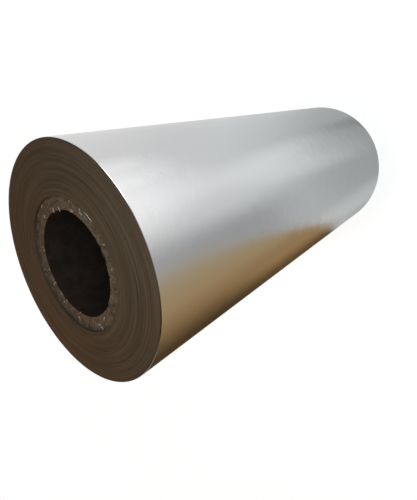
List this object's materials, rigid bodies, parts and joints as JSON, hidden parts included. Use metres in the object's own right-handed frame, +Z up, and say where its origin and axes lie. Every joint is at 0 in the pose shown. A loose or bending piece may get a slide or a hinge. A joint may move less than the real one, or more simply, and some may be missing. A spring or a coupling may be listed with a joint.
{
  "type": "roll of coated paper",
  "caption": "Roll of metallised, poly-coated kraft paper wound on a thick paperboard core, standing on its end.",
  "frame": {"origin": "on the roll's axis, in the plane that the lower end stands on", "axes": "+Z up the roll's axis; the end that the picture shows is the upper one, and the sheet's free end lies 110 degrees round from +X"},
  "size_m": [0.1699, 0.17, 0.4006],
  "materials": {
    "metallised_paper": "satin",
    "core_board": "matte"
  },
  "bodies": {
    "root": {"paper_roll": "metallised_paper", "core_tube": "core_board"}
  },
  "joints": []
}
